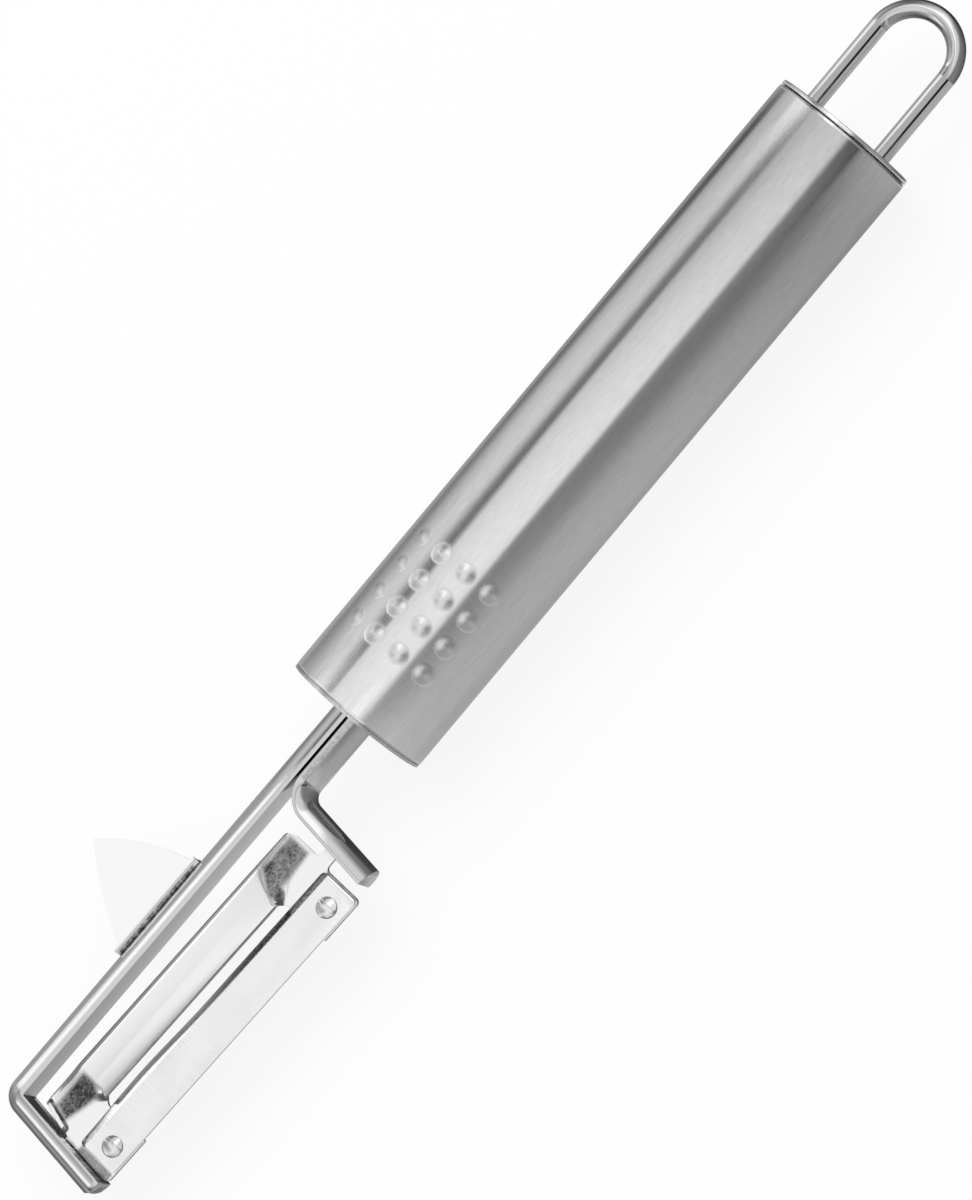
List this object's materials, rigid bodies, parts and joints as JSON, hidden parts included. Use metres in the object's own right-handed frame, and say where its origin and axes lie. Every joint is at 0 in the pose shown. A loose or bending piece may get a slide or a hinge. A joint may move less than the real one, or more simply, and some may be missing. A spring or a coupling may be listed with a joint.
{
  "type": "vegetable peeler",
  "caption": "Swivel vegetable peeler: round steel tube handle with a wire hanging loop, a folded half-round wire bow, a riveted blade in a swivelling carrier, and a pointed eye cutter.",
  "frame": {"origin": "centre of the handle, on its axis and midway between its ends", "axes": "+X along the handle from the hanging loop to the blade, +Y towards the blade's side of the bow, +Z towards the side of the grip nubs"},
  "size_m": [0.2011, 0.0347, 0.0221],
  "materials": {
    "brushed_tube": "fine brushed along the handle",
    "cap_steel": "satin",
    "polished_wire": "polished",
    "polished_sheet": "polished",
    "blade_steel": "fine ground",
    "rivet_steel": "polished",
    "plug": "moulded"
  },
  "bodies": {
    "handle": {"handle_tube": "brushed_tube", "front_cap": "cap_steel", "rear_cap": "cap_steel", "front_plug": "plug", "rear_plug": "plug", "hanging_loop": "polished_wire", "frame_bow": "polished_wire", "eye_cutter": "polished_sheet"},
    "blade": {"blade_carrier": "polished_sheet", "blade_strip": "blade_steel", "rivet_heel": "rivet_steel", "rivet_tip": "rivet_steel"}
  },
  "joints": [
    {"name": "blade_swivel", "type": "hinge", "parent": "handle", "child": "blade", "pos_m": [0.09708, 0.00881, 0], "axis": [0.9994, -0.0349, 0], "range_deg": [-40, 40]}
  ]
}
